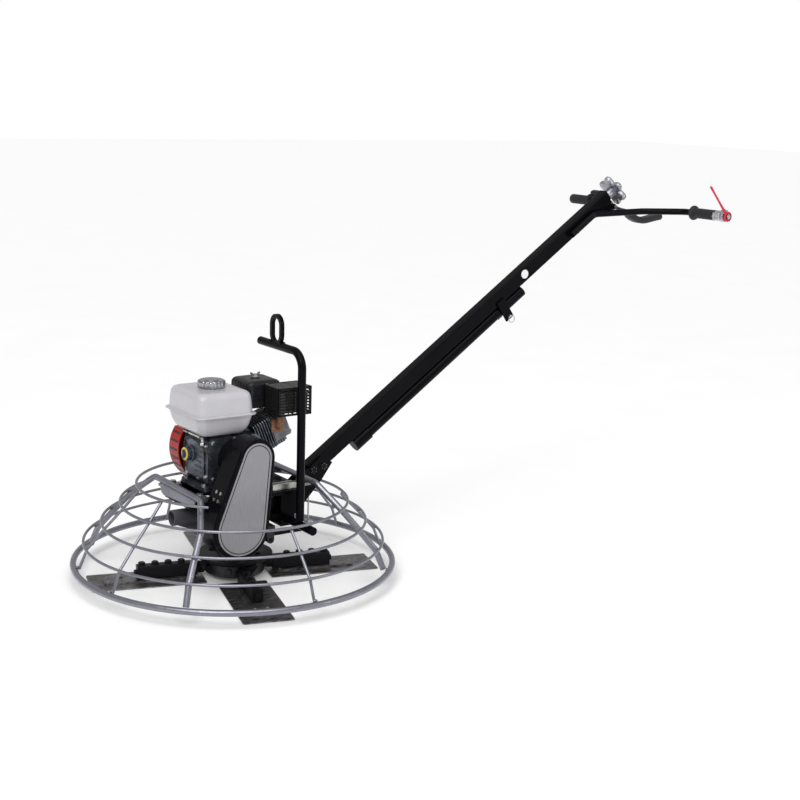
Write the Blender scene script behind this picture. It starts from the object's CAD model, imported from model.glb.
import random
from math import acos, atan2, cos, hypot, pi, radians, sin, sqrt

import bmesh
import bpy
from mathutils import Matrix, Vector


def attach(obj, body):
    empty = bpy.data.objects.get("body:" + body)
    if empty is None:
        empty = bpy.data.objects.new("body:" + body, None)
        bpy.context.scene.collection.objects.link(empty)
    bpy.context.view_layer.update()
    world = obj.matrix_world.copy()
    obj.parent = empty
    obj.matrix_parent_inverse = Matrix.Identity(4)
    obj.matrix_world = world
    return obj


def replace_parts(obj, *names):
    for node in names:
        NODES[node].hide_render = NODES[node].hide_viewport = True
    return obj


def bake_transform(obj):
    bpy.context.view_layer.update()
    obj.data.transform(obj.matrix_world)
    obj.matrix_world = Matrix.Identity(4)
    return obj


# Looks of a walk-behind power trowel. Metres, in the CAD frame: the rotor axis meets the floor at the
# origin, +X points back to the operator, +Y to the recoil-starter side, +Z up.
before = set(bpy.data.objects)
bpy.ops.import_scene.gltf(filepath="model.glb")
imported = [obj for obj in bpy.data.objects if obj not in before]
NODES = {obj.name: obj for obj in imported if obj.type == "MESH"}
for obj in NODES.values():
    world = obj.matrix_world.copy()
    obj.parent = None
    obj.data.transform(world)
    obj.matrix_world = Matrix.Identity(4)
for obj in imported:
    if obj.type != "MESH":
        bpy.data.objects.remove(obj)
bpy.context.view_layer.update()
random.seed(7)

X, Y, Z = Vector((1, 0, 0)), Vector((0, 1, 0)), Vector((0, 0, 1))
TAU = 2 * pi

# ---- places taken from the frame ----
HANDLE_FOOT = Vector((0.259, 0, 0.294))
HANDLE_TILT = radians(34.8)
HANDLE_DIR = Vector((cos(HANDLE_TILT), 0, sin(HANDLE_TILT)))
HANDLE_UP = Vector((-sin(HANDLE_TILT), 0, cos(HANDLE_TILT)))
HANDLE_HALF = 0.018                       # half the tube's width
HANDLE_LENGTH = 1.454
BLADE_PHASE = -15.6                       # degrees, first blade
GUARD_RINGS = ((0.485, 0.0485), (0.454, 0.117), (0.400, 0.178), (0.344, 0.237), (0.295, 0.2925))
RING_WIRE, GUARD_TUBE = 0.00425, 0.0095    # radii; the hoops and the bottom ring are one tube
BAR_X, BAR_Z = 1.650, 1.083               # the two grips' common axis runs along Y
BAR = Vector((BAR_X, 0, BAR_Z))
CRANK_X, CRANK_Z = -0.038, 0.388          # the crankshaft's axis runs along Y


def on_handle(distance, height=0.0, side=0.0):
    return HANDLE_FOOT + HANDLE_DIR * distance + HANDLE_UP * height + Y * side


# ---- materials ----
def shader(name):
    material = bpy.data.materials.new(name)
    material.use_nodes = True
    tree = material.node_tree
    return material, tree, tree.nodes["Principled BSDF"]


def added(tree, kind):
    return tree.nodes.new("ShaderNode" + kind)


def put(node, name, value):
    """Set an input to a constant."""
    node.inputs[name].default_value = value


def feed(node, name, value):
    """Link an output to an input."""
    node.id_data.links.new(value, node.inputs[name])


def noise(tree, scale, detail=3.0, stretch=(1, 1, 1), rough=0.55):
    """Noise on the piece's own coordinates, in metres."""
    coord = added(tree, "TexCoord")
    mapping = added(tree, "Mapping")
    put(mapping, "Scale", stretch)
    texture = added(tree, "TexNoise")
    put(texture, "Scale", scale)
    put(texture, "Detail", detail)
    put(texture, "Roughness", rough)
    feed(mapping, "Vector", coord.outputs["Object"])
    feed(texture, "Vector", mapping.outputs["Vector"])
    return texture.outputs["Fac"]


def spread(tree, value, low, high, start=0.3, end=0.7):
    """The value between start and end, mapped to low..high."""
    node = added(tree, "MapRange")
    put(node, "From Min", start)
    put(node, "From Max", end)
    put(node, "To Min", low)
    put(node, "To Max", high)
    feed(node, "Value", value)
    return node.outputs["Result"]


def blend(tree, factor, first, second):
    """Mix two colours; each is an RGB tuple or a socket."""
    node = added(tree, "Mix")
    node.data_type = "RGBA"
    feed(node, "Factor", factor)
    for socket, colour in (("A", first), ("B", second)):
        target = [s for s in node.inputs if s.name == socket and s.type == "RGBA"][0]
        if isinstance(colour, tuple):
            target.default_value = (*colour, 1)
        else:
            tree.links.new(colour, target)
    return [s for s in node.outputs if s.type == "RGBA"][0]


def bumped(tree, bsdf, *layers):
    """Stack bumps; each layer is a height socket, a strength and a depth in metres."""
    last = None
    for height, strength, depth in layers:
        node = added(tree, "Bump")
        put(node, "Strength", strength)
        put(node, "Distance", depth)
        feed(node, "Height", height)
        if last is not None:
            feed(node, "Normal", last)
        last = node.outputs["Normal"]
    feed(bsdf, "Normal", last)


def upward(tree, amount):
    """How far a surface faces up, times a patchy noise: where dust settles."""
    geometry = added(tree, "NewGeometry")
    split = added(tree, "SeparateXYZ")
    feed(split, "Vector", geometry.outputs["Normal"])
    facing = spread(tree, split.outputs["Z"], 0.0, amount, 0.55, 1.0)
    patches = spread(tree, noise(tree, 22, 5), 0.15, 1.0, 0.35, 0.7)
    product = added(tree, "Math")
    product.operation = "MULTIPLY"
    feed(product, 0, facing)
    feed(product, 1, patches)
    return product.outputs["Value"]


DUST = (0.36, 0.35, 0.34)


def powder_coat(name, colour, shade, rough=(0.22, 0.34), metallic=0.0, dust=0.08, peel=0.0004, sheen=0.22):
    """Stoved paint: orange peel, faint tone changes and a little dust on top."""
    material, tree, bsdf = shader(name)
    tone = blend(tree, spread(tree, noise(tree, 9, 4), 0, 1), colour, shade)
    feed(bsdf, "Base Color", blend(tree, upward(tree, dust), tone, DUST))
    feed(bsdf, "Roughness", spread(tree, noise(tree, 35, 4), *rough))
    put(bsdf, "Metallic", metallic)
    put(bsdf, "Specular IOR Level", sheen)
    bumped(tree, bsdf, (noise(tree, 420, 2), 0.16, peel))
    return material


def silver_paint():
    """Aluminium-pigment paint on welded steel rod."""
    material, tree, bsdf = shader("silver_paint")
    flakes = spread(tree, noise(tree, 1500, 2), 0, 1, 0.35, 0.65)
    tone = blend(tree, flakes, (0.21, 0.21, 0.245), (0.36, 0.36, 0.41))
    shade = blend(tree, spread(tree, noise(tree, 14, 5), 0, 0.5), tone, (0.17, 0.17, 0.205))
    feed(bsdf, "Base Color", shade)
    feed(bsdf, "Roughness", spread(tree, noise(tree, 60, 4), 0.24, 0.40))
    put(bsdf, "Metallic", 0.85)
    bumped(tree, bsdf, (noise(tree, 260, 3), 0.22, 0.0005))
    return material


def machined(name, colour, dark, rough=(0.24, 0.40), stretch=(1, 1, 1), scale=240):
    """Bare metal with tool marks along the stretched direction."""
    material, tree, bsdf = shader(name)
    marks = noise(tree, scale, 4, stretch)
    tone = blend(tree, spread(tree, marks, 0, 1), dark, colour)
    stain = blend(tree, spread(tree, noise(tree, 30, 5), 0, 0.35), tone, dark)
    feed(bsdf, "Base Color", stain)
    feed(bsdf, "Roughness", spread(tree, marks, *rough))
    put(bsdf, "Metallic", 1.0)
    bumped(tree, bsdf, (marks, 0.12, 0.0003))
    return material


def blade_steel():
    """Spring steel that has rubbed on concrete: long scuffs, grey smears, brighter worn patches."""
    material, tree, bsdf = shader("blade_steel")
    scuffs = noise(tree, 26, 9, (1.0, 4.5, 1.0), 0.68)
    patches = noise(tree, 11, 6, (1, 1.6, 1), 0.6)
    tone = blend(tree, spread(tree, scuffs, 0, 1, 0.38, 0.66), (0.055, 0.053, 0.058), (0.42, 0.41, 0.42))
    worn = blend(tree, spread(tree, patches, 0, 0.85, 0.48, 0.62), tone, (0.19, 0.165, 0.155))
    feed(bsdf, "Base Color", worn)
    feed(bsdf, "Roughness", spread(tree, scuffs, 0.22, 0.52, 0.3, 0.7))
    put(bsdf, "Metallic", 0.92)
    bumped(tree, bsdf, (scuffs, 0.25, 0.0005), (noise(tree, 500, 3), 0.1, 0.0002))
    return material


def sand_cast(name, colour, dark, metallic=0.9, rough=(0.38, 0.58), grain=0.0009):
    """Cast metal with sand-mould grain."""
    material, tree, bsdf = shader(name)
    tone = blend(tree, spread(tree, noise(tree, 40, 6), 0, 1), dark, colour)
    feed(bsdf, "Base Color", blend(tree, upward(tree, 0.10), tone, DUST))
    feed(bsdf, "Roughness", spread(tree, noise(tree, 90, 4), *rough))
    put(bsdf, "Metallic", metallic)
    bumped(tree, bsdf, (noise(tree, 620, 4), 0.35, grain), (noise(tree, 90, 3), 0.15, grain))
    return material


def plastic(name, colour, shade, rough=(0.30, 0.42), grain=0.0003, subsurface=0.0, coat=0.0):
    material, tree, bsdf = shader(name)
    tone = blend(tree, spread(tree, noise(tree, 7, 4), 0, 1), colour, shade)
    feed(bsdf, "Base Color", tone)
    feed(bsdf, "Roughness", spread(tree, noise(tree, 50, 3), *rough))
    put(bsdf, "Specular IOR Level", 0.3)
    put(bsdf, "Subsurface Weight", subsurface)
    put(bsdf, "Subsurface Scale", 0.004)
    put(bsdf, "Coat Weight", coat)
    put(bsdf, "Coat Roughness", 0.12)
    bumped(tree, bsdf, (noise(tree, 900, 2), 0.2, grain))
    return material


def rusty():
    """Exhaust steel gone brown with heat."""
    material, tree, bsdf = shader("rusty_pipe")
    scale_spots = noise(tree, 120, 8, rough=0.7)
    tone = blend(tree, spread(tree, scale_spots, 0, 1, 0.38, 0.64), (0.22, 0.085, 0.035), (0.42, 0.24, 0.16))
    feed(bsdf, "Base Color", tone)
    feed(bsdf, "Roughness", spread(tree, scale_spots, 0.55, 0.9))
    put(bsdf, "Metallic", 0.35)
    bumped(tree, bsdf, (scale_spots, 0.5, 0.0008))
    return material


def brushed_plate():
    """Silver badge stock, brushed along its height."""
    material, tree, bsdf = shader("badge_silver")
    grain = noise(tree, 420, 4, (3.0, 1.0, 0.06))
    tone = blend(tree, spread(tree, grain, 0, 1), (0.235, 0.235, 0.25), (0.35, 0.35, 0.365))
    feed(bsdf, "Base Color", tone)
    feed(bsdf, "Roughness", spread(tree, grain, 0.36, 0.52))
    put(bsdf, "Metallic", 0.7)
    bumped(tree, bsdf, (grain, 0.15, 0.0002))
    return material


MAT = {
    "black": powder_coat("black_gloss", (0.0022, 0.0020, 0.0030), (0.0038, 0.0035, 0.0052), (0.16, 0.28),
                         dust=0.004, sheen=0.06),
    "black_satin": powder_coat("black_satin", (0.005, 0.005, 0.0065), (0.009, 0.009, 0.011), (0.34, 0.50),
                               dust=0.04, peel=0.0008, sheen=0.10),
    "socket": powder_coat("socket_grey", (0.055, 0.055, 0.065), (0.085, 0.085, 0.098), (0.38, 0.55),
                          dust=0.15),
    "gearbox": sand_cast("gearbox_black", (0.010, 0.010, 0.012), (0.005, 0.005, 0.0065), 0.0, (0.34, 0.5)),
    "silver": silver_paint(),
    "blade": blade_steel(),
    "steel": machined("turned_steel", (0.56, 0.56, 0.57), (0.34, 0.34, 0.35)),
    "zinc": machined("zinc_plate", (0.70, 0.70, 0.66), (0.42, 0.42, 0.40), (0.22, 0.36), scale=600),
    "casting": sand_cast("engine_casting", (0.17, 0.18, 0.21), (0.055, 0.062, 0.082), 0.9, (0.26, 0.5)),
    "fins": sand_cast("cylinder_casting", (0.25, 0.25, 0.27), (0.10, 0.10, 0.115)),
    "valve_cover": sand_cast("valve_cover", (0.27, 0.32, 0.37), (0.14, 0.18, 0.23), 0.85, (0.28, 0.42)),
    "star_wheel": sand_cast("wheel_casting", (0.46, 0.46, 0.50), (0.24, 0.24, 0.28), 0.95, (0.26, 0.44),
                            0.0006),
    "clamp": sand_cast("clamp_casting", (0.60, 0.60, 0.64), (0.50, 0.50, 0.545), 0.92, (0.20, 0.32), 0.0002),
    "tank": plastic("tank_shell", (0.53, 0.52, 0.545), (0.47, 0.46, 0.49), (0.16, 0.26), 0.0002, 0.2, 0.5),
    "chrome": machined("bright_chrome", (0.46, 0.46, 0.49), (0.26, 0.26, 0.29), (0.10, 0.20), scale=60),
    "red": powder_coat("red_gloss", (0.42, 0.018, 0.014), (0.28, 0.012, 0.010), (0.18, 0.30), dust=0.03),
    "red_plastic": plastic("red_lever", (0.62, 0.030, 0.065), (0.50, 0.022, 0.05), (0.28, 0.4)),
    "slate": plastic("slate_plastic", (0.055, 0.075, 0.110), (0.035, 0.048, 0.075), (0.26, 0.38)),
    "yellow": plastic("yellow_ring", (0.70, 0.52, 0.04), (0.58, 0.42, 0.03)),
    "black_plastic": plastic("black_plastic", (0.008, 0.008, 0.010), (0.015, 0.015, 0.018), (0.30, 0.46),
                             0.0008),
    "grey_plastic": plastic("dark_grey_plastic", (0.020, 0.020, 0.026), (0.013, 0.013, 0.017), (0.40, 0.55),
                            0.0007),
    "rubber": plastic("grip_rubber", (0.018, 0.018, 0.021), (0.027, 0.027, 0.031), (0.55, 0.72), 0.0012),
    "muffler_black": powder_coat("muffler_black", (0.006, 0.006, 0.0065), (0.012, 0.0115, 0.0115),
                                 (0.38, 0.55), dust=0.03, peel=0.001, sheen=0.12),
    "muffler_grey": machined("heat_dulled_steel", (0.24, 0.235, 0.235), (0.10, 0.095, 0.095), (0.38, 0.56)),
    "rust": rusty(),
    "badge": brushed_plate(),
    "bronze": machined("bronze", (0.62, 0.44, 0.20), (0.40, 0.26, 0.10)),
    "belt": plastic("belt_rubber", (0.022, 0.022, 0.022), (0.034, 0.032, 0.030), (0.6, 0.8), 0.001),
    "rope": plastic("starter_rope", (0.62, 0.60, 0.55), (0.45, 0.43, 0.40), (0.7, 0.85), 0.002),
    "sticker": plastic("vinyl_white", (0.80, 0.80, 0.81), (0.74, 0.74, 0.76), (0.3, 0.4), 0.0001),
    "wire": plastic("wire_black", (0.018, 0.018, 0.02), (0.03, 0.03, 0.03), (0.35, 0.5)),
}

LOOKS = {
    "black": ("engine_deck", "lifting_bail", "handle_bracket", "handle_tube", "handlebar", "lift_tube",
              "belt_guard_cover", "belt_guard_back"),
    "socket": ("front_socket",),
    "black_satin": ("yoke_fork", "pressure_plate", "trowel_arm_1", "trowel_arm_2",
                    "trowel_arm_3", "trowel_arm_4"),
    "gearbox": ("gearbox_housing", "gearbox_cover", "spider_hub", "driven_pulley", "clutch_drum"),
    "silver": ("guard_bottom_ring", "guard_rods", "guard_hoops"),
    "blade": ("blade_1", "blade_2", "blade_3", "blade_4"),
    "steel": ("rotor_shaft", "worm_shaft", "gearbox_bearings", "crankshaft", "thrust_collar", "pitch_link",
              "pitch_nut"),
    "zinc": ("fasteners", "lift_tube_pin"),
    "casting": ("crankcase",),
    "fins": ("cylinder_head",),
    "clamp": ("bar_clamps", "flywheel", "piston"),
    "star_wheel": ("pitch_wheel",),
    "tank": ("fuel_tank",),
    "chrome": ("fuel_cap",),
    "red": ("fan_shroud", "recoil_cover"),
    "red_plastic": ("throttle_lever",),
    "black_plastic": ("stop_button", "air_cleaner_base", "air_cleaner_cover", "oil_cap", "choke_lever",
                      "spark_plug", "recoil_grip"),
    "grey_plastic": ("deadman_lever",),
    "rubber": ("handle_grips",),
    "muffler_black": ("muffler",),
    "bronze": ("worm_wheel",),
    "belt": ("v_belt",),
    "rope": ("recoil_rope",),
}
for look, names in LOOKS.items():
    for name in names:
        NODES[name].data.materials.clear()
        NODES[name].data.materials.append(MAT[look])


# ---- mesh helpers ----
def placed(name, data):
    """A new object in the scene."""
    piece = bpy.data.objects.new(name, data)
    bpy.context.scene.collection.objects.link(piece)
    return piece


def make(name, shape, material, crease=35, body="frame"):
    """Turn a bmesh into a smooth-shaded piece that rides on a body, or on none yet."""
    bmesh.ops.remove_doubles(shape, verts=shape.verts, dist=1e-6)
    bmesh.ops.recalc_face_normals(shape, faces=shape.faces)
    mesh = bpy.data.meshes.new(name)
    shape.to_mesh(mesh)
    shape.free()
    mesh.shade_smooth()
    mesh.set_sharp_from_angle(angle=radians(crease))
    mesh.materials.append(MAT[material])
    piece = placed(name, mesh)
    weighted = piece.modifiers.new("Weighted", "WEIGHTED_NORMAL")
    weighted.keep_sharp = True
    if body:
        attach(piece, body)
    return piece


def skin(shape, loops, closed=False, cap=True):
    """Faces between successive loops of equal length; closed joins last to first."""
    rings = [[shape.verts.new(p) for p in loop] for loop in loops]
    pairs = list(zip(rings, rings[1:]))
    if closed:
        pairs.append((rings[-1], rings[0]))
    count = len(rings[0])
    for low, high in pairs:
        for i in range(count):
            j = (i + 1) % count
            shape.faces.new((low[i], low[j], high[j], high[i]))
    if cap and not closed:
        shape.faces.new(rings[0][::-1])
        shape.faces.new(rings[-1])
    return rings


def basis(axis):
    """Two unit vectors square to an axis."""
    axis = Vector(axis).normalized()
    side = axis.cross(Z if abs(axis.z) < 0.9 else X).normalized()
    return side, axis.cross(side)


def round_loop(centre, side, other, radius, steps):
    """Points round a centre, in the plane of two square unit vectors."""
    angles = [TAU * i / steps for i in range(steps)]
    return [centre + (side * cos(angle) + other * sin(angle)) * radius for angle in angles]


def circle(centre, axis, radius, steps=32):
    return round_loop(centre, *basis(axis), radius, steps)


def lathe(shape, centre, axis, profile, steps=40):
    """Turn (distance along axis, radius) points into a closed solid."""
    centre, axis = Vector(centre), Vector(axis).normalized()
    skin(shape, [circle(centre + axis * t, axis, max(r, 1e-5), steps) for t, r in profile])


def block(shape, low, high, radius=0.0015, segments=2, turn=None):
    """A box between two corners with its edges rounded; turn is a matrix about the origin."""
    part = bmesh.new()
    bmesh.ops.create_cube(part, size=1)
    size, middle = Vector(high) - Vector(low), (Vector(high) + Vector(low)) / 2
    bmesh.ops.scale(part, vec=size, verts=part.verts)
    bmesh.ops.bevel(part, geom=list(part.edges), offset=radius, segments=segments, profile=0.5,
                    affect="EDGES")
    bmesh.ops.translate(part, vec=middle, verts=part.verts)
    if turn is not None:
        bmesh.ops.transform(part, matrix=turn, verts=part.verts)
    scratch = bpy.data.meshes.new("scratch")
    part.to_mesh(scratch)
    part.free()
    shape.from_mesh(scratch)
    bpy.data.meshes.remove(scratch)


def rounded_loop(centre_x, centre_y, half_x, half_y, radius, z, steps=7):
    """A rounded rectangle seen from above."""
    points = []
    for quarter, (sx, sy) in enumerate(((1, 1), (-1, 1), (-1, -1), (1, -1))):
        for i in range(steps + 1):
            angle = pi / 2 * (quarter + i / steps)
            points.append(Vector((centre_x + sx * (half_x - radius) + radius * cos(angle),
                                  centre_y + sy * (half_y - radius) + radius * sin(angle), z)))
    return points


def stood(x, loop):
    """A loop drawn flat, stood up square to X: its x and y become y and z."""
    return [Vector((x, p.x, p.y)) for p in loop]


def teardrop_loop(low, low_r, high, high_r, y, grow=0.0, steps=28):
    """The outline round two circles in a plane square to Y."""
    ax, az = high[0] - low[0], high[1] - low[1]
    heading, lean = atan2(az, ax), acos((low_r - high_r) / hypot(ax, az))
    points = []
    for centre, radius, start, sweep in ((low, low_r, heading + lean, TAU - 2 * lean),
                                         (high, high_r, heading - lean, 2 * lean)):
        for i in range(steps + 1):
            angle = start + sweep * i / steps
            points.append(Vector((centre[0] + (radius + grow) * cos(angle), y,
                                  centre[1] + (radius + grow) * sin(angle))))
    return points


def sweep(shape, points, radius, steps=14):
    """A round bar along a polyline."""
    points = [Vector(p) for p in points]
    tangents = [(b - a).normalized() for a, b in zip(points, points[1:])]
    tangents = [tangents[0]] + [(a + b).normalized() for a, b in zip(tangents, tangents[1:])] + [tangents[-1]]
    side = basis(tangents[0])[0]
    loops = []
    last = tangents[0]
    for point, ahead in zip(points, tangents):
        side = last.rotation_difference(ahead) @ side
        last = ahead
        loops.append(round_loop(point, side, ahead.cross(side), radius, steps))
    skin(shape, loops)


def smooth_route(points, steps=8):
    """Catmull-Rom points through a few hand-placed ones."""
    points = [Vector(p) for p in points]
    ends = [points[0] * 2 - points[1]] + points + [points[-1] * 2 - points[-2]]
    route = []
    for a, b, c, d in zip(ends, ends[1:], ends[2:], ends[3:]):
        for i in range(steps):
            t = i / steps
            route.append(0.5 * (2 * b + (c - a) * t + (2 * a - 5 * b + 4 * c - d) * t * t
                                + (3 * b - a - 3 * c + d) * t ** 3))
    return route + [points[-1]]


def bolt(shape, base, axis, flats, height, washer=None):
    """A chamfered hexagon head on a washer."""
    base, axis = Vector(base), Vector(axis).normalized()
    washer = washer or flats * 0.62
    lathe(shape, base, axis, [(-0.0002, washer), (0.0012, washer), (0.0015, washer - 0.0004)], 24)
    corner = flats / sqrt(3)
    levels = ((0.0012, corner), (height * 0.86, corner), (height, corner * 0.86))
    skin(shape, [circle(base + axis * t, axis, r, 6) for t, r in levels])


def polar(radius, degrees, z):
    heading = radians(degrees)
    return Vector((radius * cos(heading), radius * sin(heading), z))


# ---- fuel tank and cap ----
TANK_X, TANK_Y, TANK_HALF_X, TANK_HALF_Y = -0.0785, 0.009, 0.0935, 0.109
CAP = Vector((-0.080, 0, 0.5905))


def tank_shell():
    shape = bmesh.new()
    levels = ((0.458, 0.040), (0.4595, 0.032), (0.464, 0.023), (0.473, 0.0145), (0.488, 0.008),
              (0.506, 0.0035), (0.5172, 0.001), (0.5185, -0.0005), (0.5187, -0.0062), (0.5196, -0.0078),
              (0.5208, -0.0082), (0.5212, -0.0074), (0.5216, -0.0082), (0.5226, -0.0078),
              (0.5234, -0.0062), (0.5236, -0.0005), (0.5250, 0.001), (0.540, 0.0016), (0.560, 0.0030),
              (0.572, 0.0046), (0.5790, 0.0070), (0.5840, 0.0104), (0.5872, 0.0150), (0.5890, 0.0210),
              (0.5896, 0.0280), (0.5903, 0.050))
    skin(shape, [rounded_loop(TANK_X, TANK_Y, TANK_HALF_X - inset, TANK_HALF_Y - inset,
                              max(0.026 - inset * 0.25, 0.012), z, 9) for z, inset in levels])
    lathe(shape, CAP, Z, [(-0.001, 0.041), (0.0005, 0.0395), (0.0012, 0.033), (0.0035, 0.0315),
                          (0.0045, 0.0300), (0.0044, 0.027), (0.0, 0.0265)], 56)
    for side in (-1, 1):
        for place in (-0.045, 0.045):
            x, y = TANK_X + side * TANK_HALF_X, TANK_Y + place
            block(shape, (x - 0.007, y - 0.010, 0.5165), (x + 0.0085, y + 0.010, 0.5200), 0.001)
    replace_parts(make("tank_shell", shape, "tank", 38), "fuel_tank")
    shape = bmesh.new()
    for side_x in (-1, 1):
        for side_y in (-1, 1):
            spot = Vector((TANK_X + side_x * 0.052, TANK_Y + side_y * 0.052, 0.4515))
            lathe(shape, spot, Z, [(0, 0.011), (0.0085, 0.011), (0.0095, 0.009)], 20)
    make("tank_rubbers", shape, "rubber", 50)


def fuel_cap():
    shape = bmesh.new()
    loops = []
    for z, radius, depth in ((0.0030, 0.0385, 0.0), (0.0034, 0.0412, 0.0028), (0.0180, 0.0418, 0.0030),
                             (0.0212, 0.0408, 0.0024), (0.0232, 0.0382, 0.0010), (0.0240, 0.0350, 0.0),
                             (0.0232, 0.0325, 0.0), (0.0232, 0.0230, 0.0), (0.0247, 0.0218, 0.0),
                             (0.0254, 0.0190, 0.0), (0.0256, 0.0100, 0.0)):
        loop = []
        for i in range(144):
            angle = TAU * i / 144
            reach = radius - depth * (0.5 - 0.5 * cos(18 * angle)) ** 2
            loop.append(CAP + Vector((reach * cos(angle), reach * sin(angle), z)))
        loops.append(loop)
    skin(shape, loops)
    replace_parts(make("scalloped_cap", shape, "chrome", 40, body="fuel_cap"), "fuel_cap")


tank_shell()
fuel_cap()


# ---- air cleaner and muffler ----
def air_cleaner():
    shape = bmesh.new()
    levels = ((0.5464, 0.001), (0.5470, 0.0), (0.5540, 0.0), (0.5546, 0.0028), (0.5556, 0.0030),
              (0.5562, 0.0004), (0.5860, 0.0012), (0.5925, 0.0035), (0.5970, 0.0080), (0.5990, 0.0145),
              (0.6000, 0.024))
    skin(shape, [rounded_loop(0.088, 0.033, 0.058 - inset, 0.063 - inset, max(0.016 - inset * 0.2, 0.008), z)
                 for z, inset in levels])
    for index in range(6):
        y = -0.009 + 0.017 * index
        block(shape, (0.0300, y - 0.0018, 0.560), (0.1460, y + 0.0018, 0.5925), 0.0010)
    for index in range(5):
        x = 0.048 + 0.020 * index
        block(shape, (x - 0.0018, -0.0300, 0.560), (x + 0.0018, 0.0960, 0.5905), 0.0010)
    lathe(shape, (0.084, 0.030, 0.598), Z, [(0, 0.017), (0.0035, 0.016), (0.005, 0.012)], 28)
    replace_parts(make("air_cleaner_lid", shape, "black_plastic"),
                "air_cleaner_cover")
    shape = bmesh.new()
    centre = Vector((0.084, 0.030, 0.6030))
    lathe(shape, centre, Z, [(0, 0.0085), (0.0012, 0.0085), (0.0016, 0.0058), (0.009, 0.0048),
                             (0.0098, 0.0036)], 24)
    for side in (-1, 1):
        outline = [(0.004, 0.001), (0.010, 0.003), (0.0165, 0.010), (0.0172, 0.0135), (0.0140, 0.0152),
                   (0.0095, 0.0128), (0.0045, 0.0075)]
        loops = [[centre + Vector((side * x, y, z)) for x, z in outline] for y in (-0.0016, 0.0016)]
        skin(shape, loops)
    make("wing_nut", shape, "zinc", 40)


def muffler():
    x0, x1, y0, y1, z0, z1 = 0.078, 0.192, -0.126, -0.036, 0.507, 0.594
    shape = bmesh.new()
    levels = ((0.086, 0.012), (0.0868, 0.004), (0.089, 0.001), (0.092, 0.0), (0.134, 0.0), (0.1345, -0.0022),
              (0.1365, -0.0022), (0.137, 0.0), (0.178, 0.0), (0.181, 0.001), (0.1832, 0.004), (0.184, 0.012))
    loops = []
    for x, inset in levels:
        half, corner = 0.0370 - inset, max(0.015 - inset * 0.4, 0.006)
        loops.append(stood(x, rounded_loop(-0.0815, 0.5485, half, half, corner, 0)))
    skin(shape, loops)
    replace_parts(make("muffler_can", shape, "muffler_grey"), "muffler")

    shape = bmesh.new()
    for index in range(8):
        z = 0.517 + 0.0088 * index
        block(shape, (x0 + 0.006, y0, z), (x1 - 0.006, y0 + 0.0018, z + 0.0040), 0.0007)
    for x in (x0 + 0.033, x0 + 0.062, x0 + 0.088):
        block(shape, (x - 0.002, y0 - 0.0003, 0.510), (x + 0.002, y0 + 0.0014, 0.590), 0.0006)
    for end in (x0, x1 - 0.0018):
        block(shape, (end, y0 + 0.001, z1 - 0.014), (end + 0.0018, y1, z1 - 0.001), 0.0006)
        block(shape, (end, y0 + 0.001, z0), (end + 0.0018, y1, z0 + 0.010), 0.0006)
        for index in range(6):
            z = 0.519 + 0.0100 * index
            height = 0.0046 if end > x0 else 0.0098
            block(shape, (end, y0 + 0.001, z), (end + 0.0018, y1, z + height), 0.0006)
    for x in (x0, x1 - 0.007):
        block(shape, (x, y0, z0), (x + 0.007, y0 + 0.007, z1), 0.0016)
        block(shape, (x, y1 - 0.006, z0), (x + 0.007, y1, z1 - 0.001), 0.0012)
    for low, high in ((z0, z0 + 0.007), (z1 - 0.009, z1)):
        block(shape, (x0, y0, low), (x1, y0 + 0.0035, high), 0.0014)
        block(shape, (x0, y1 - 0.0035, low), (x1, y1, high), 0.0014)
    make("muffler_guard", shape, "muffler_black")

    shape = bmesh.new()
    block(shape, (x0 + 0.0010, y0 + 0.0010, z1 - 0.0042), (x1 - 0.001, y1 - 0.001, z1 - 0.0026), 0.0006)
    for index in range(11):
        y = y0 + 0.0105 + 0.0066 * index
        for low, high in ((x0 + 0.012, x0 + 0.050), (x0 + 0.062, x1 - 0.011)):
            place = Matrix.Translation(((low + high) / 2, y, z1 - 0.0018))
            tilt = place @ Matrix.Rotation(radians(24), 4, "X")
            half = (high - low) / 2
            block(shape, (-half, -0.0026, -0.0005), (half, 0.0026, 0.0007), 0.0004, turn=tilt)
    for x in (x0 + 0.006, x1 - 0.006):
        for y in (y0 + 0.007, y1 - 0.007):
            bolt(shape, (x, y, z1 - 0.0024), Z, 0.0070, 0.0036)
    make("muffler_louvres", shape, "muffler_grey")

    shape = bmesh.new()
    route = smooth_route([(0.112, -0.055, 0.466), (0.112, -0.066, 0.467), (0.112, -0.075, 0.476),
                          (0.112, -0.077, 0.492), (0.112, -0.077, 0.512)], 7)
    sweep(shape, route, 0.0115, 22)
    block(shape, (0.092, -0.0625, 0.446), (0.132, -0.0548, 0.486), 0.003)
    lathe(shape, (0.150, -0.094, 0.580), Z, [(0, 0.010), (0.0122, 0.010), (0.0130, 0.0092),
                                                     (0.013, 0.008), (0.004, 0.008)], 24)
    make("exhaust_pipe", shape, "rust")


air_cleaner()
muffler()


# ---- belt guard badge ----
BADGE_LOW, BADGE_TOP = (-0.084, 0.203), (-0.034, 0.411)


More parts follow.
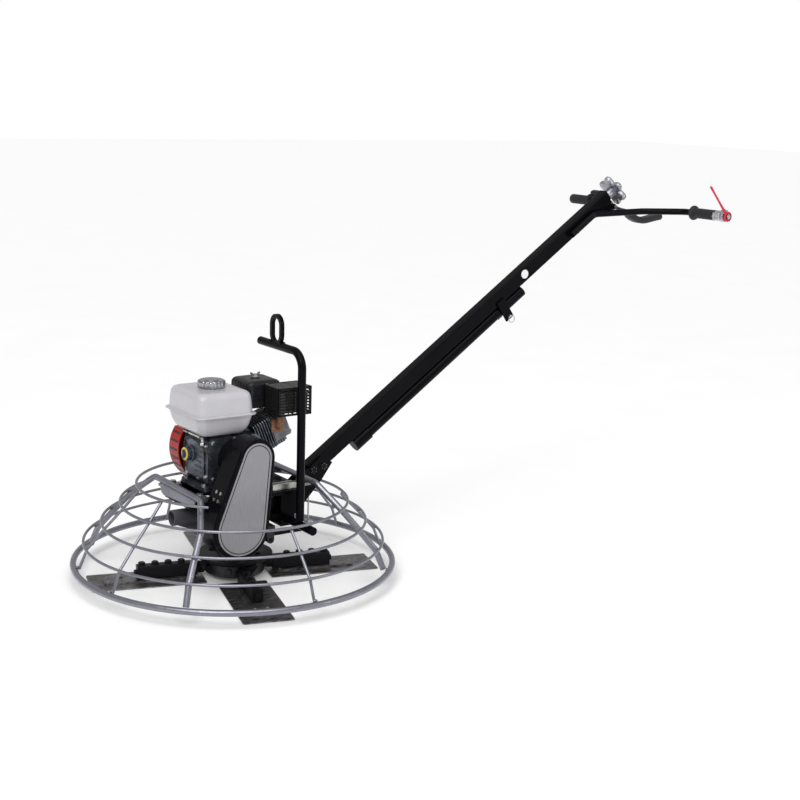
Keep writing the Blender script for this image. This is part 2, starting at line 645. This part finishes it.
def badge():
    plate = ((-0.2013, 0.0), (-0.2019, 0.0), (-0.2022, -0.0003), (-0.2023, -0.0010))
    stripe = ((-0.20225, -0.0056), (-0.20250, -0.0058), (-0.20250, -0.0082), (-0.20225, -0.0084))
    for name, levels, look, closed in (("badge_plate", plate, "badge", False),
                                       ("badge_pinstripe", stripe, "black_satin", True)):
        shape = bmesh.new()
        skin(shape, [teardrop_loop(BADGE_LOW, 0.078, BADGE_TOP, 0.047, y, grow)
                     for y, grow in levels], closed)
        make(name, shape, look, 30)
    shape = bmesh.new()
    for x, z in ((-0.0865, 0.4105), (0.0170, 0.4210), (-0.1600, 0.1640), (-0.0100, 0.1640),
                 (-0.1400, 0.290), (0.013, 0.290)):
        lathe(shape, (x, -0.2001, z), -Y, [(0, 0.0042), (0.0012, 0.0040), (0.0022, 0.0028),
                                                   (0.0025, 0.001)], 20)
    make("cover_screws", shape, "black_satin", 40)


badge()


# ---- engine details ----
def engine_details():
    shape = bmesh.new()
    for y in (-0.060, -0.036, 0.060):
        for z in (0.336, 0.428):
            bolt(shape, (-0.1302, y, z), -X, 0.0100, 0.0055)
    for x, z in ((-0.112, 0.438), (-0.112, 0.330), (0.030, 0.330), (-0.040, 0.444)):
        bolt(shape, (x, -0.0722, z), -Y, 0.0100, 0.0055)
    for y in (-0.020, 0.052):
        bolt(shape, (-0.1302, y, 0.326), -X, 0.0130, 0.0070)
    make("case_bolts", shape, "zinc", 40)

    shape = bmesh.new()
    levels = ((-0.1296, 0.004), (-0.1306, 0.0016), (-0.1335, 0.0), (-0.1365, 0.0012), (-0.1372, 0.004))
    skin(shape, [stood(x, rounded_loop(0.002, 0.383, 0.057 - inset, 0.058 - inset, 0.020, 0))
                 for x, inset in levels])
    for z in (0.345, 0.361, 0.377, 0.393, 0.409, 0.425):
        block(shape, (-0.1395, -0.046, z - 0.0018), (-0.1366, -0.004, z + 0.0018), 0.0008)
    make("case_end_cover", shape, "casting")

    shape = bmesh.new()
    lathe(shape, (-0.1372, 0.022, 0.392), -X, [(0, 0.0225), (0.0006, 0.0255), (0.0028, 0.0260),
                                                       (0.0044, 0.0250), (0.0048, 0.0215)], 40)
    make("oil_seal_ring", shape, "slate")

    shape = bmesh.new()
    block(shape, (-0.106, -0.050, 0.4405), (-0.098, 0.046, 0.4435), 0.0008)
    block(shape, (-0.140, -0.062, 0.4300), (-0.137, -0.050, 0.4540), 0.0008)
    block(shape, (-0.140, -0.062, 0.4500), (-0.137, 0.034, 0.4555), 0.0008)
    lathe(shape, (-0.1375, -0.056, 0.436), -X, [(0, 0.007), (0.003, 0.007), (0.006, 0.005),
                                                        (0.0065, 0.002)], 20)
    make("governor_arm", shape, "zinc")

    shape = bmesh.new()
    coil = []
    count, radius = 180, 0.0028
    for i in range(count):
        angle = TAU * i / 10
        coil.append(Vector((-0.1395 + radius * sin(angle), 0.034 + 0.028 * i / count,
                            0.4530 + radius * cos(angle))))
    sweep(shape, coil, 0.00055, 6)
    make("governor_spring", shape, "steel", 50)

    shape = bmesh.new()
    for route in (((-0.128, 0.068, 0.446), (-0.142, 0.048, 0.430), (-0.146, 0.020, 0.444),
                   (-0.141, -0.026, 0.437), (-0.136, -0.066, 0.420), (-0.120, -0.076, 0.392)),
                  ((-0.128, 0.070, 0.436), (-0.141, 0.056, 0.416), (-0.144, 0.050, 0.372),
                   (-0.139, 0.060, 0.334))):
        sweep(shape, smooth_route(route, 9), 0.0024, 10)
    make("engine_leads", shape, "wire", 50)

    shape = bmesh.new()
    z = 0.2742
    for y in (-0.0895, 0.0895):
        block(shape, (-0.150, y - 0.009, z), (0.070, y + 0.009, z + 0.0065), 0.001)
        block(shape, (0.074, y - 0.014, z), (0.156, y + 0.014, z + 0.0035), 0.001)
        for edge in (-0.014, 0.0115):
            block(shape, (0.074, y + edge, z + 0.002), (0.156, y + edge + 0.0025, z + 0.0190), 0.0008)
        for x in (-0.138, -0.060, 0.040):
            bolt(shape, (x, y, z + 0.0065), Z, 0.013, 0.008)
        for x in (0.092, 0.138):
            bolt(shape, (x, y, z + 0.0035), Z, 0.015, 0.0100)
        lathe(shape, (0.062, y, z + 0.013), X, [(0, 0.0035), (0.0005, 0.0040), (0.090, 0.0040),
                                                        (0.091, 0.0034)], 16)
    make("engine_rails", shape, "zinc")


def oil_cap():
    """A finger-turned filler cap: knurled rim, low grip across its face."""
    face = Vector((-0.1484, 0.022, 0.392))
    loops = []
    for reach, radius, depth in ((0.0, 0.0185, 0.0), (0.0004, 0.0200, 0.0008), (0.0060, 0.0205, 0.0010),
                                 (0.0085, 0.0195, 0.0008), (0.0100, 0.0175, 0.0), (0.0096, 0.0150, 0.0),
                                 (0.0092, 0.0080, 0.0)):
        loop = []
        for i in range(96):
            angle = TAU * i / 96
            size = radius - depth * (0.5 + 0.5 * cos(24 * angle))
            loop.append(face + Vector((-reach, size * cos(angle), size * sin(angle))))
        loops.append(loop)
    shape = bmesh.new()
    skin(shape, loops)
    block(shape, (-0.1660, 0.0192, 0.3785), (-0.1560, 0.0248, 0.4055), 0.0022, 3)
    lathe(shape, face, X, [(0.0, 0.0130), (0.018, 0.0130), (0.020, 0.0115)], 32)
    ring_data = bmesh.new()
    lathe(ring_data, face, -X, [(0.0084, 0.0110), (0.0102, 0.0120), (0.0112, 0.0150), (0.0108, 0.0186),
                                (0.0096, 0.0198), (0.0080, 0.0196)], 48)
    make("filler_ring", ring_data, "yellow", 38, body="oil_cap")
    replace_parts(make("filler_cap", shape, "slate", 38, body="oil_cap"), "oil_cap")


def cylinder_details():
    turn = Matrix.Translation((CRANK_X, 0, CRANK_Z)) @ Matrix.Rotation(radians(-22), 4, "Y")
    shape = bmesh.new()
    for y in (-0.035, 0.035):
        for z in (-0.030, 0.036):
            bolt(shape, turn @ Vector((0.2102, y, z)), turn.to_3x3() @ X, 0.010, 0.006)
    for y in (-0.047, 0.047):
        for z in (-0.041, 0.043):
            bolt(shape, turn @ Vector((0.1852, y * 0.93, z)), turn.to_3x3() @ X, 0.009, 0.004)
    make("head_bolts", shape, "zinc", 40)
    shape = bmesh.new()
    loops = []
    for x, inset in ((0.2095, 0.002), (0.2125, 0.0025), (0.2150, 0.006), (0.2155, 0.010)):
        flat = rounded_loop(0, 0.001, 0.028 - inset, 0.024 - inset, 0.010, 0)
        loops.append([turn @ p for p in stood(x, flat)])
    skin(shape, loops)
    make("valve_cover_crown", shape, "valve_cover")
    shape = bmesh.new()
    plug = turn @ Vector((0.166, 0.098, -0.008))
    route = smooth_route([plug, plug + Vector((0.004, 0.012, -0.012)), Vector((0.060, 0.112, 0.436)),
                          Vector((0.046, 0.100, 0.400)), Vector((0.036, 0.078, 0.372))], 9)
    sweep(shape, route, 0.0035, 12)
    make("spark_lead", shape, "wire", 50)


def recoil_details():
    shape = bmesh.new()
    for index in range(6):
        angle = TAU * (index + 0.5) / 6
        spot = Vector((CRANK_X + 0.0705 * cos(angle), 0.1382, CRANK_Z + 0.0605 * sin(angle)))
        if spot.z < 0.447:
            bolt(shape, spot, Y, 0.008, 0.0045)
    make("recoil_bolts", shape, "zinc", 40)
    shape = bmesh.new()
    lathe(shape, (CRANK_X, 0.1655, CRANK_Z), Y, [(0, 0.024), (0.0012, 0.0236), (0.0016, 0.020),
                                                         (0.0016, 0.004)], 40)
    make("recoil_badge", shape, "clamp", 40)
    shape = bmesh.new()
    shroud = 0.1141
    for index in range(9):
        angle = radians(128 + 13 * index)
        centre = Vector((CRANK_X + shroud * cos(angle), 0.108, CRANK_Z + shroud * sin(angle)))
        if 0.297 < centre.z < 0.441:
            turn = Matrix.Translation(centre) @ Matrix.Rotation(-angle, 4, "Y")
            block(shape, (-0.0010, -0.023, -0.0032), (0.0006, 0.023, 0.0032), 0.0003, turn=turn)
    make("shroud_vents", shape, "black_plastic", 40)


def starter_rope():
    """The rope between its guide and the pull grip; it pays out as the grip leaves the engine."""
    foot, knot = Vector((0.010, 0.152, 0.4405)), Vector((0.010, 0.152, 0.4590))
    count = 24
    shape = bmesh.new()
    skin(shape, [circle(foot.lerp(knot, index / count), Z, 0.0025, 16) for index in range(count + 1)])
    rope = make("starter_rope", shape, "rope", 50, body=None)
    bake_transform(rope)
    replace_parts(rope, "recoil_rope")


engine_details()
oil_cap()
cylinder_details()
recoil_details()
starter_rope()


# ---- guard welds ----
def weld(shape, centre, along, radius=0.0042, length=0.013):
    """A small uneven bead lying along a direction."""
    along = Vector(along).normalized()
    size = radius * random.uniform(0.85, 1.1)
    profile = []
    for step in range(9):
        t = step / 8
        swell = sin(pi * t) ** 0.55 * size * (1 + 0.10 * sin(step * 2.6 + centre.x * 90))
        profile.append(((t - 0.5) * length, max(swell, 0.0002)))
    lathe(shape, centre, along, profile, 12)


def guard_welds():
    shape = bmesh.new()
    for heading in (16, -16, 90, -90, 165, -165, 135, 45, -135, -45):
        hoop = abs(heading) in (45, 135)
        width = 0.0068 if hoop else 0.0042
        turn = Matrix.Rotation(radians(heading), 3, "Z")
        for index, (radius, z) in enumerate(GUARD_RINGS[:4 if hoop or heading in (16, -16, -90) else 5]):
            own = GUARD_TUBE if index == 0 else RING_WIRE
            if index == 0:
                inward = Vector((-1, 0, 0.35)).normalized()
            else:
                below = GUARD_RINGS[index - 1]
                above = GUARD_RINGS[min(index + 1, 4)]
                inward = Vector((below[1] - above[1], 0, above[0] - below[0])).normalized()
            centre = turn @ (Vector((radius, 0, z)) + inward * own)
            for side in (-1, 1):
                foot = centre + turn @ Y * side * width * 0.9
                weld(shape, foot, turn @ Vector((0.3, 0.0, 1.0)), 0.0030, 0.0085)
    for side in (-1, 1):
        for heading in (16, 90, 165):
            along = polar(1, heading * side + 90, 0)
            weld(shape, polar(0.4766, heading * side, 0.0585), along, 0.0038, 0.016)
    sweep(shape, [(-0.2005, 0.088, 0.2885), (-0.2005, -0.132, 0.2885)], 0.0035, 12)
    make("guard_welds", shape, "silver", 60)


guard_welds()


# ---- rotor details ----
def blade_details():
    for number in (1, 2, 3, 4):
        turn = Matrix.Rotation(radians(BLADE_PHASE + 90 * (number - 1)), 4, "Z")
        shape = bmesh.new()
        for reach in (0.138, 0.345, 0.388):
            for side in (-0.018, 0.018):
                lathe(shape, turn @ Vector((reach, side, 0.0080)), Z,
                      [(0, 0.0062), (0.0016, 0.0058), (0.0028, 0.0040), (0.0031, 0.001)], 18)
        make("strip_rivets_%d" % number, shape, "blade", 40, body="arm_%d" % number)
        shape = bmesh.new()
        for reach in (0.165, 0.205, 0.245, 0.285):
            bolt(shape, turn @ Vector((reach, 0, 0.0479)), Z, 0.0182, 0.0100, 0.0125)
        make("arm_bolts_%d" % number, shape, "black_satin", 40, body="arm_%d" % number)


def gearbox_details():
    shape = bmesh.new()
    for side in (-1, 1):
        for x in (-0.112, -0.072, 0.016, 0.056):
            bolt(shape, (x, side * 0.0722, 0.236), Y * side, 0.012, 0.007)
    for y in (-0.05, 0.05):
        for z in (0.236, 0.160):
            bolt(shape, (-0.1282, y, z), -X, 0.012, 0.007)
    bolt(shape, (0.0, -0.0722, 0.164), -Y, 0.017, 0.008)
    make("gearbox_bolts", shape, "zinc", 40)


blade_details()
gearbox_details()


# ---- handle head ----
def handle_sticker():
    shape = bmesh.new()
    spot = on_handle(1.012, 0.002, -HANDLE_HALF - 0.00005)
    lathe(shape, spot, -Y, [(0, 0.0150), (0.0002, 0.0150), (0.00028, 0.0146), (0.00028, 0.004)], 48)
    make("round_sticker", shape, "sticker", 40)


def star_wheel():
    axis, steps = HANDLE_DIR, 120
    centre = on_handle(HANDLE_LENGTH + 0.037)
    shape = bmesh.new()
    lobes = []
    for t, inset in ((-0.0090, 0.0070), (-0.0080, 0.0030), (-0.0055, 0.0007), (-0.0020, 0.0), (0.0020, 0.0),
                     (0.0055, 0.0007), (0.0080, 0.0030), (0.0090, 0.0070)):
        loop = []
        for i in range(steps):
            angle = TAU * i / steps
            wave = 0.5 + 0.5 * cos(6 * angle)
            reach = 0.0375 + 0.0185 * wave ** 0.62 - inset
            loop.append(centre + axis * t + (Y * sin(angle) + HANDLE_UP * cos(angle)) * reach)
        lobes.append(loop)
    hub_front = ((0.0088, 0.0300), (0.0072, 0.0270), (0.0068, 0.0200), (0.0082, 0.0170),
                 (0.0125, 0.0160), (0.0132, 0.0145), (0.0132, 0.0090), (0.0105, 0.0080))
    hub_rear = ((-0.0330, 0.0140), (-0.0332, 0.0165), (-0.0320, 0.0178), (-0.0120, 0.0180),
                (-0.0095, 0.0195), (-0.0092, 0.0290))
    front, rear = ([round_loop(centre + axis * t, HANDLE_UP, Y, radius, steps) for t, radius in hub]
                   for hub in (hub_front, hub_rear))
    skin(shape, rear + lobes + front)
    wheel = make("star_wheel", shape, "star_wheel", 32, body="pitch_wheel")
    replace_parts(wheel, "pitch_wheel")
    shape = bmesh.new()
    lathe(shape, on_handle(1.282), axis, [(0, 0.0050), (0.002, 0.0060), (0.212, 0.0060), (0.214, 0.005)], 24)
    lathe(shape, on_handle(HANDLE_LENGTH - 0.018), axis,
          [(0, 0.0135), (0.001, 0.0140), (0.0085, 0.0140), (0.0095, 0.0135)], 32)
    bolt(shape, on_handle(HANDLE_LENGTH + 0.0472), axis, 0.0130, 0.0050)
    make("pitch_screw", shape, "steel", 40, body="pitch_wheel")


def grip(name, start, end):
    """A ribbed rubber sleeve from its thumb flange to its closed end."""
    step = 1 if end > start else -1
    length = abs(end - start)
    profile = [(-0.0070, 0.0125), (-0.0070, 0.0235), (-0.0062, 0.0246), (-0.0040, 0.0250), (-0.0012, 0.0246),
               (0.0, 0.0225), (0.0020, 0.0186), (0.0045, 0.0174)]
    t = 0.008
    while t < length - 0.014:
        profile += [(t, 0.0174), (t + 0.0006, 0.0165), (t + 0.0020, 0.0163), (t + 0.0026, 0.0173)]
        t += 0.0062
    profile += [(length - 0.008, 0.0175), (length - 0.003, 0.0173), (length - 0.0006, 0.0160),
                (length, 0.0125)]
    shape = bmesh.new()
    lathe(shape, BAR + Y * start, Y * step, profile, 48)
    return make(name, shape, "rubber")


def throttle_head():
    shape = bmesh.new()
    lathe(shape, BAR - Y * 0.3365, -Y,
          [(0, 0.0120), (0.0002, 0.0160), (0.0016, 0.0175), (0.0200, 0.0178),
           (0.0220, 0.0190), (0.0405, 0.0192), (0.0430, 0.0180), (0.0440, 0.0125)], 44)
    for low, high, radius in (((-0.030, -0.3740, -0.0125), (-0.004, -0.3430, 0.0125), 0.0035),
                              ((-0.008, -0.3780, 0.008), (0.012, -0.3580, 0.0215), 0.0040)):
        block(shape, Vector(low) + BAR, Vector(high) + BAR, radius, 3)
    clamp = make("throttle_clamp", shape, "clamp")
    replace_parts(clamp, "bar_clamps")
    shape = bmesh.new()
    for y in (-0.3660, -0.3510):
        bolt(shape, (BAR_X - 0.0305, y, BAR_Z), -X, 0.0078, 0.0042)
    bolt(shape, (BAR_X + 0.001, -0.3680, BAR_Z + 0.0213), Z, 0.0080, 0.0040)
    bolt(shape, BAR - Y * 0.3895, -Y, 0.0130, 0.0045, 0.0105)
    make("throttle_screws", shape, "zinc", 40)

    shape = bmesh.new()
    lathe(shape, BAR + Y * 0.2480, Y,
          [(0, 0.0118), (0.0004, 0.0142), (0.0020, 0.0150), (0.0260, 0.0150), (0.0276, 0.0142),
           (0.0280, 0.0118)], 40)
    lathe(shape, (BAR_X, 0.2420, 1.113), Y,
          [(0, 0.0080), (0.0004, 0.0098), (0.0020, 0.0110), (0.0400, 0.0110), (0.0418, 0.0100),
           (0.0418, 0.0078), (0.0300, 0.0076)], 36)
    block(shape, (BAR_X - 0.0080, 0.250, BAR_Z + 0.011), (BAR_X + 0.0080, 0.274, 1.108), 0.0020)
    make("stop_switch", shape, "black_plastic")


def throttle_lever():
    root = BAR - Y * 0.3858
    tip = Vector((BAR_X - 0.088, -0.386, BAR_Z + 0.099))
    ahead = (tip - root).normalized()
    across = ahead.cross(Y).normalized()
    stations = ((0.013, 0.0078, 0.0028), (0.020, 0.0058, 0.0026), (0.032, 0.0044, 0.0024),
                (0.070, 0.0036, 0.0021), (0.105, 0.0034, 0.0021), (0.120, 0.0038, 0.0024),
                (0.1285, 0.0042, 0.0028), (0.1340, 0.0036, 0.0026), (0.1365, 0.0020, 0.0015))
    loops = []
    for reach, half, thick in stations:
        flat = rounded_loop(0, 0, half, thick, min(thick, half) * 0.8, 0, 4)
        loops.append([root + ahead * reach + across * p.x + Y * p.y for p in flat])
    shape = bmesh.new()
    skin(shape, loops)
    lathe(shape, BAR - Y * 0.3814, -Y,
          [(0, 0.0116), (0.0003, 0.0160), (0.0014, 0.0170), (0.0074, 0.0170), (0.0086, 0.0160),
           (0.0086, 0.0116)], 44)
    lever = make("red_lever", shape, "red_plastic", body="throttle_lever")
    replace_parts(lever, "throttle_lever")


def deadman_paddle():
    pivot = Vector((1.484, 0, 1.090))
    stops = ((1.512, 1.0815), (1.540, 1.0745), (1.560, 1.0640), (1.584, 1.0490), (1.606, 1.0410),
             (1.634, 1.0378), (1.676, 1.0440), (1.716, 1.0500))
    route = smooth_route([pivot + Vector((-0.004, 0, 0.003))] + [Vector((x, 0, z)) for x, z in stops], 6)
    count = len(route)
    loops = []
    for index, point in enumerate(route):
        before, after = route[max(index - 1, 0)], route[min(index + 1, count - 1)]
        ahead = (after - before).normalized()
        up = ahead.cross(Y) * -1
        share = index / (count - 1)
        half = 0.0105 + 0.0095 * min(max((share - 0.22) / 0.2, 0.0), 1.0)
        thick = 0.0052 + 0.0062 * min(max((share - 0.20) / 0.24, 0.0), 1.0)
        if index == count - 1 or index == 0:
            half, thick = half * 0.8, thick * 0.7
        flat = rounded_loop(0, 0, half, thick, min(0.0090, thick * 0.85), 0, 4)
        loops.append([point + Y * p.x + up * p.y for p in flat])
    shape = bmesh.new()
    skin(shape, loops)
    lathe(shape, pivot - Y * 0.0123, Y, [(0, 0.0080), (0.0008, 0.0098), (0.0020, 0.0102), (0.0226, 0.0102),
                                         (0.0238, 0.0098), (0.0246, 0.008)], 32)
    piece = make("deadman_paddle", shape, "grey_plastic", body="deadman_lever")
    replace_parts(piece, "deadman_lever")
    shape = bmesh.new()
    lathe(shape, pivot - Y * 0.0205, Y, [(0, 0.0058), (0.0018, 0.0060), (0.0022, 0.0038), (0.0388, 0.0038),
                                         (0.0392, 0.0060), (0.0410, 0.0058)], 24)
    make("deadman_pin", shape, "zinc", 40, body="deadman_lever")


def handle_bolts():
    shape = bmesh.new()
    for x, z in ((0.176, 0.205), (0.176, 0.235), (0.262, 0.300), (0.300, 0.308)):
        for side in (-1, 1):
            bolt(shape, (x, side * (HANDLE_HALF + 0.0060), z), Y * side, 0.0180, 0.0092, 0.0130)
    for distance in (1.262, 1.350):
        for side in (-1, 1):
            lathe(shape, on_handle(distance, -0.003, side * (HANDLE_HALF + 0.0212)), Y * side,
                  [(0, 0.0070), (0.0012, 0.0070), (0.0030, 0.0050), (0.0034, 0.002)], 20)
    make("bracket_bolts", shape, "black_satin", 40)


handle_sticker()
star_wheel()
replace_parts(grip("near_grip", -0.2360, -0.3330), "handle_grips")
grip("far_grip", 0.3000, 0.3960)
throttle_head()
throttle_lever()
deadman_paddle()
handle_bolts()


# ---- lifting bail ----
def bail_details():
    shape = bmesh.new()
    for side in (-1, 1):
        for offset in (-0.028, 0.028):
            weld(shape, Vector((0.142 + side * 0.0066, offset, 0.7120)), Y, 0.0035, 0.024)
    weld(shape, Vector((0.1292, -0.150, 0.1845)), Z, 0.0040, 0.020)
    make("bail_welds", shape, "black", 60)


bail_details()


# ---- camera, floor and light ----
def studio():
    camera = placed("camera", bpy.data.cameras.new("camera"))
    camera.data.sensor_width = 36
    camera.data.lens = 65.72
    heading, pitch, roll = radians(35), radians(12.15), radians(1.66)
    level = Vector((cos(heading), -sin(heading), 0))
    ahead = Vector((sin(heading) * cos(pitch), cos(heading) * cos(pitch), -sin(pitch)))
    upright = level.cross(ahead)
    right = level * cos(roll) + upright * sin(roll)
    up = upright * cos(roll) - level * sin(roll)
    turn = Matrix((right, up, -ahead)).transposed()
    camera.matrix_world = Matrix.Translation((-2.0531, -3.7946, 1.4817)) @ turn.to_4x4()
    bpy.context.scene.camera = camera

    floor_mesh = bmesh.new()
    bmesh.ops.create_grid(floor_mesh, x_segments=2, y_segments=2, size=30)
    mesh = bpy.data.meshes.new("floor")
    floor_mesh.to_mesh(mesh)
    floor_mesh.free()
    floor = placed("floor", mesh)
    floor.location.z = -0.0006
    material, tree, bsdf = shader("pale_floor")
    tone = blend(tree, spread(tree, noise(tree, 3), 0, 1), (0.96, 0.96, 0.96), (0.94, 0.94, 0.94))
    feed(bsdf, "Base Color", tone)
    put(bsdf, "Roughness", 0.9)
    put(bsdf, "Specular IOR Level", 0.1)
    put(bsdf, "Emission Color", (1.0, 1.0, 1.0, 1))
    put(bsdf, "Emission Strength", 0.05)
    mesh.materials.append(material)

    world = bpy.data.worlds.new("studio")
    world.use_nodes = True
    sky = world.node_tree.nodes["Background"]
    put(sky, "Color", (1.0, 1.0, 1.0, 1))
    put(sky, "Strength", 0.50)
    tree = world.node_tree
    backdrop = added(tree, "Background")
    path = added(tree, "LightPath")
    choose = added(tree, "MixShader")
    feed(choose, "Fac", path.outputs["Is Camera Ray"])
    feed(choose, 1, sky.outputs["Background"])
    feed(choose, 2, backdrop.outputs["Background"])
    put(backdrop, "Color", (1.0, 1.0, 1.0, 1))
    tree.links.new(choose.outputs["Shader"], tree.nodes["World Output"].inputs["Surface"])
    bpy.context.scene.world = world
    bpy.context.scene.view_settings.view_transform = "Standard"

    sun = placed("sun", bpy.data.lights.new("sun", "SUN"))
    sun.data.energy = 1.75
    sun.data.angle = radians(55)
    sun.rotation_euler = Vector((0.35, 0.5, -1.0)).to_track_quat("-Z", "Y").to_euler()
    lamps = (("key", (-2.4, -2.2, 2.6), 1.0, 22), ("fill", (2.4, -2.6, 2.0), 1.2, 12))
    for name, place, size, power in lamps:
        lamp = placed(name, bpy.data.lights.new(name, "AREA"))
        lamp.data.shape = "DISK"
        lamp.data.size = size
        lamp.data.energy = power
        lamp.location = place
        aim = Vector((0.3, 0, 0.4)) - Vector(place)
        lamp.rotation_euler = aim.to_track_quat("-Z", "Y").to_euler()


studio()
